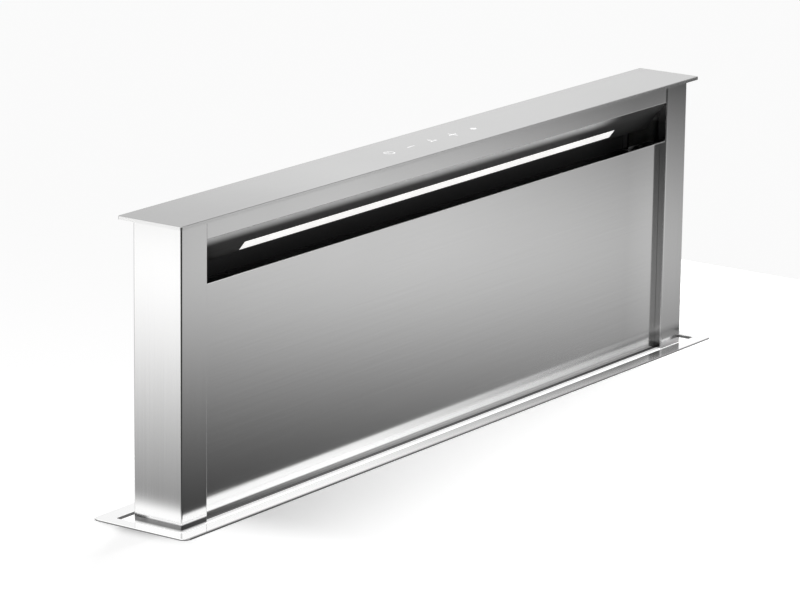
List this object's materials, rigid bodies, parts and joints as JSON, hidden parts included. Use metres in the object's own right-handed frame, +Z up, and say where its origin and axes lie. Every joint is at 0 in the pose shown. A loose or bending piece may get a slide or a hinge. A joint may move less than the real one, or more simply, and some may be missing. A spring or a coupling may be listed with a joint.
{
  "type": "downdraft vent",
  "caption": "Retractable worktop downdraft extractor in stainless steel: a flat tower with a lit intake slot rises out of a trim frame, over a casing with lift drive, blower and duct collar.",
  "frame": {"origin": "centre of the trim flange, on its underside, which lies on the worktop", "axes": "+X along the tower's long side, -Y towards the cook, +Z up out of the worktop"},
  "size_m": [0.946, 0.2715, 1.0035],
  "materials": {
    "steel_lid": "finely brushed stainless steel, satin",
    "steel_front": "satin stainless steel, almost mirror-like",
    "steel_trim": "polished stainless steel",
    "steel_dark": "stainless steel in shade",
    "mark_light": "white translucent infill",
    "light_strip": "opal diffuser, lit",
    "board_green": "circuit board",
    "spring_steel": "bright plated",
    "black_coat": "matt black powder coat",
    "filter_aluminium": "layered mesh",
    "zinc_sheet": "zinc-coated sheet",
    "nylon": "natural nylon",
    "machined_steel": "machined",
    "cast_aluminium": "cast and milled",
    "seal_rubber": "matt",
    "motor_can": "satin dark grey",
    "black_plastic": "moulded",
    "flap_plastic": "moulded",
    "terminal_plastic": "moulded"
  },
  "bodies": {
    "casing": {"trim_frame": "steel_trim", "wiper_seal": "seal_rubber", "casing_front": "zinc_sheet", "casing_rear": "zinc_sheet", "casing_end_left": "zinc_sheet", "casing_end_right": "zinc_sheet", "casing_floor": "zinc_sheet", "casing_screws": "spring_steel", "guide_post_left": "machined_steel", "guide_post_right": "machined_steel", "post_clamp_left": "cast_aluminium", "post_clamp_right": "cast_aluminium", "drive_beam": "zinc_sheet", "shaft_bearings": "nylon", "lift_gearbox": "cast_aluminium", "lift_motor": "motor_can", "limit_switches": "black_plastic", "blower_scroll": "zinc_sheet", "blower_cover": "zinc_sheet", "inlet_ring": "zinc_sheet", "fan_motor": "motor_can", "outlet_collar": "black_plastic", "damper_pin": "machined_steel", "control_box": "black_plastic", "control_box_cover": "black_plastic", "terminal_block": "terminal_plastic", "cable_gland": "black_plastic", "worktop_brackets": "zinc_sheet", "clamp_screws": "spring_steel", "floor_brackets": "zinc_sheet"},
    "tower": {"lid": "steel_lid", "touch_marks": "mark_light", "touch_board": "board_green", "header_fascia": "steel_front", "light_bar": "steel_dark", "led_diffuser": "light_strip", "led_strip": "board_green", "column_left": "steel_front", "column_right": "steel_front", "front_panel": "steel_front", "foot_sill": "steel_front", "rear_panel": "steel_front", "panel_clips": "spring_steel", "baffle_plate": "black_coat", "grease_filter_left": "filter_aluminium", "grease_filter_right": "filter_aluminium", "filter_handles": "spring_steel", "filter_shelf": "black_coat", "tower_base": "zinc_sheet", "guide_bushes": "nylon", "lift_rack_left": "machined_steel", "lift_rack_right": "machined_steel"},
    "drive_shaft": {"sync_shaft": "machined_steel", "pinion_left": "machined_steel", "pinion_right": "machined_steel"},
    "fan_rotor": {"impeller": "black_plastic", "fan_shaft": "machined_steel"},
    "flap_front": {"damper_flap_front": "flap_plastic"},
    "flap_rear": {"damper_flap_rear": "flap_plastic"}
  },
  "joints": [
    {"name": "tower_lift", "type": "slide", "parent": "casing", "child": "tower", "axis": [0, 0, 1], "range_m": [-0.2868, 0]},
    {"name": "drive_shaft_spin", "type": "hinge", "parent": "casing", "child": "drive_shaft", "pos_m": [0, 0.016, -0.4], "axis": [1, 0, 0], "range_deg": [0, 915]},
    {"name": "fan_spin", "type": "hinge", "parent": "casing", "child": "fan_rotor", "pos_m": [-0.06, -0.122, -0.56], "axis": [0, 1, 0], "continuous": true},
    {"name": "flap_front_swing", "type": "hinge", "parent": "casing", "child": "flap_front", "pos_m": [0.15, -0.122, -0.467], "axis": [0, 0, 1], "range_deg": [0, 75], "stiffness_Nm_per_rad": 0.01},
    {"name": "flap_rear_swing", "type": "hinge", "parent": "casing", "child": "flap_rear", "pos_m": [0.15, -0.122, -0.467], "axis": [0, 0, -1], "range_deg": [0, 75], "stiffness_Nm_per_rad": 0.01}
  ],
  "couplings": [
    {"joint": "drive_shaft_spin", "follows": "tower_lift", "rad_per_m": -55.556}
  ]
}
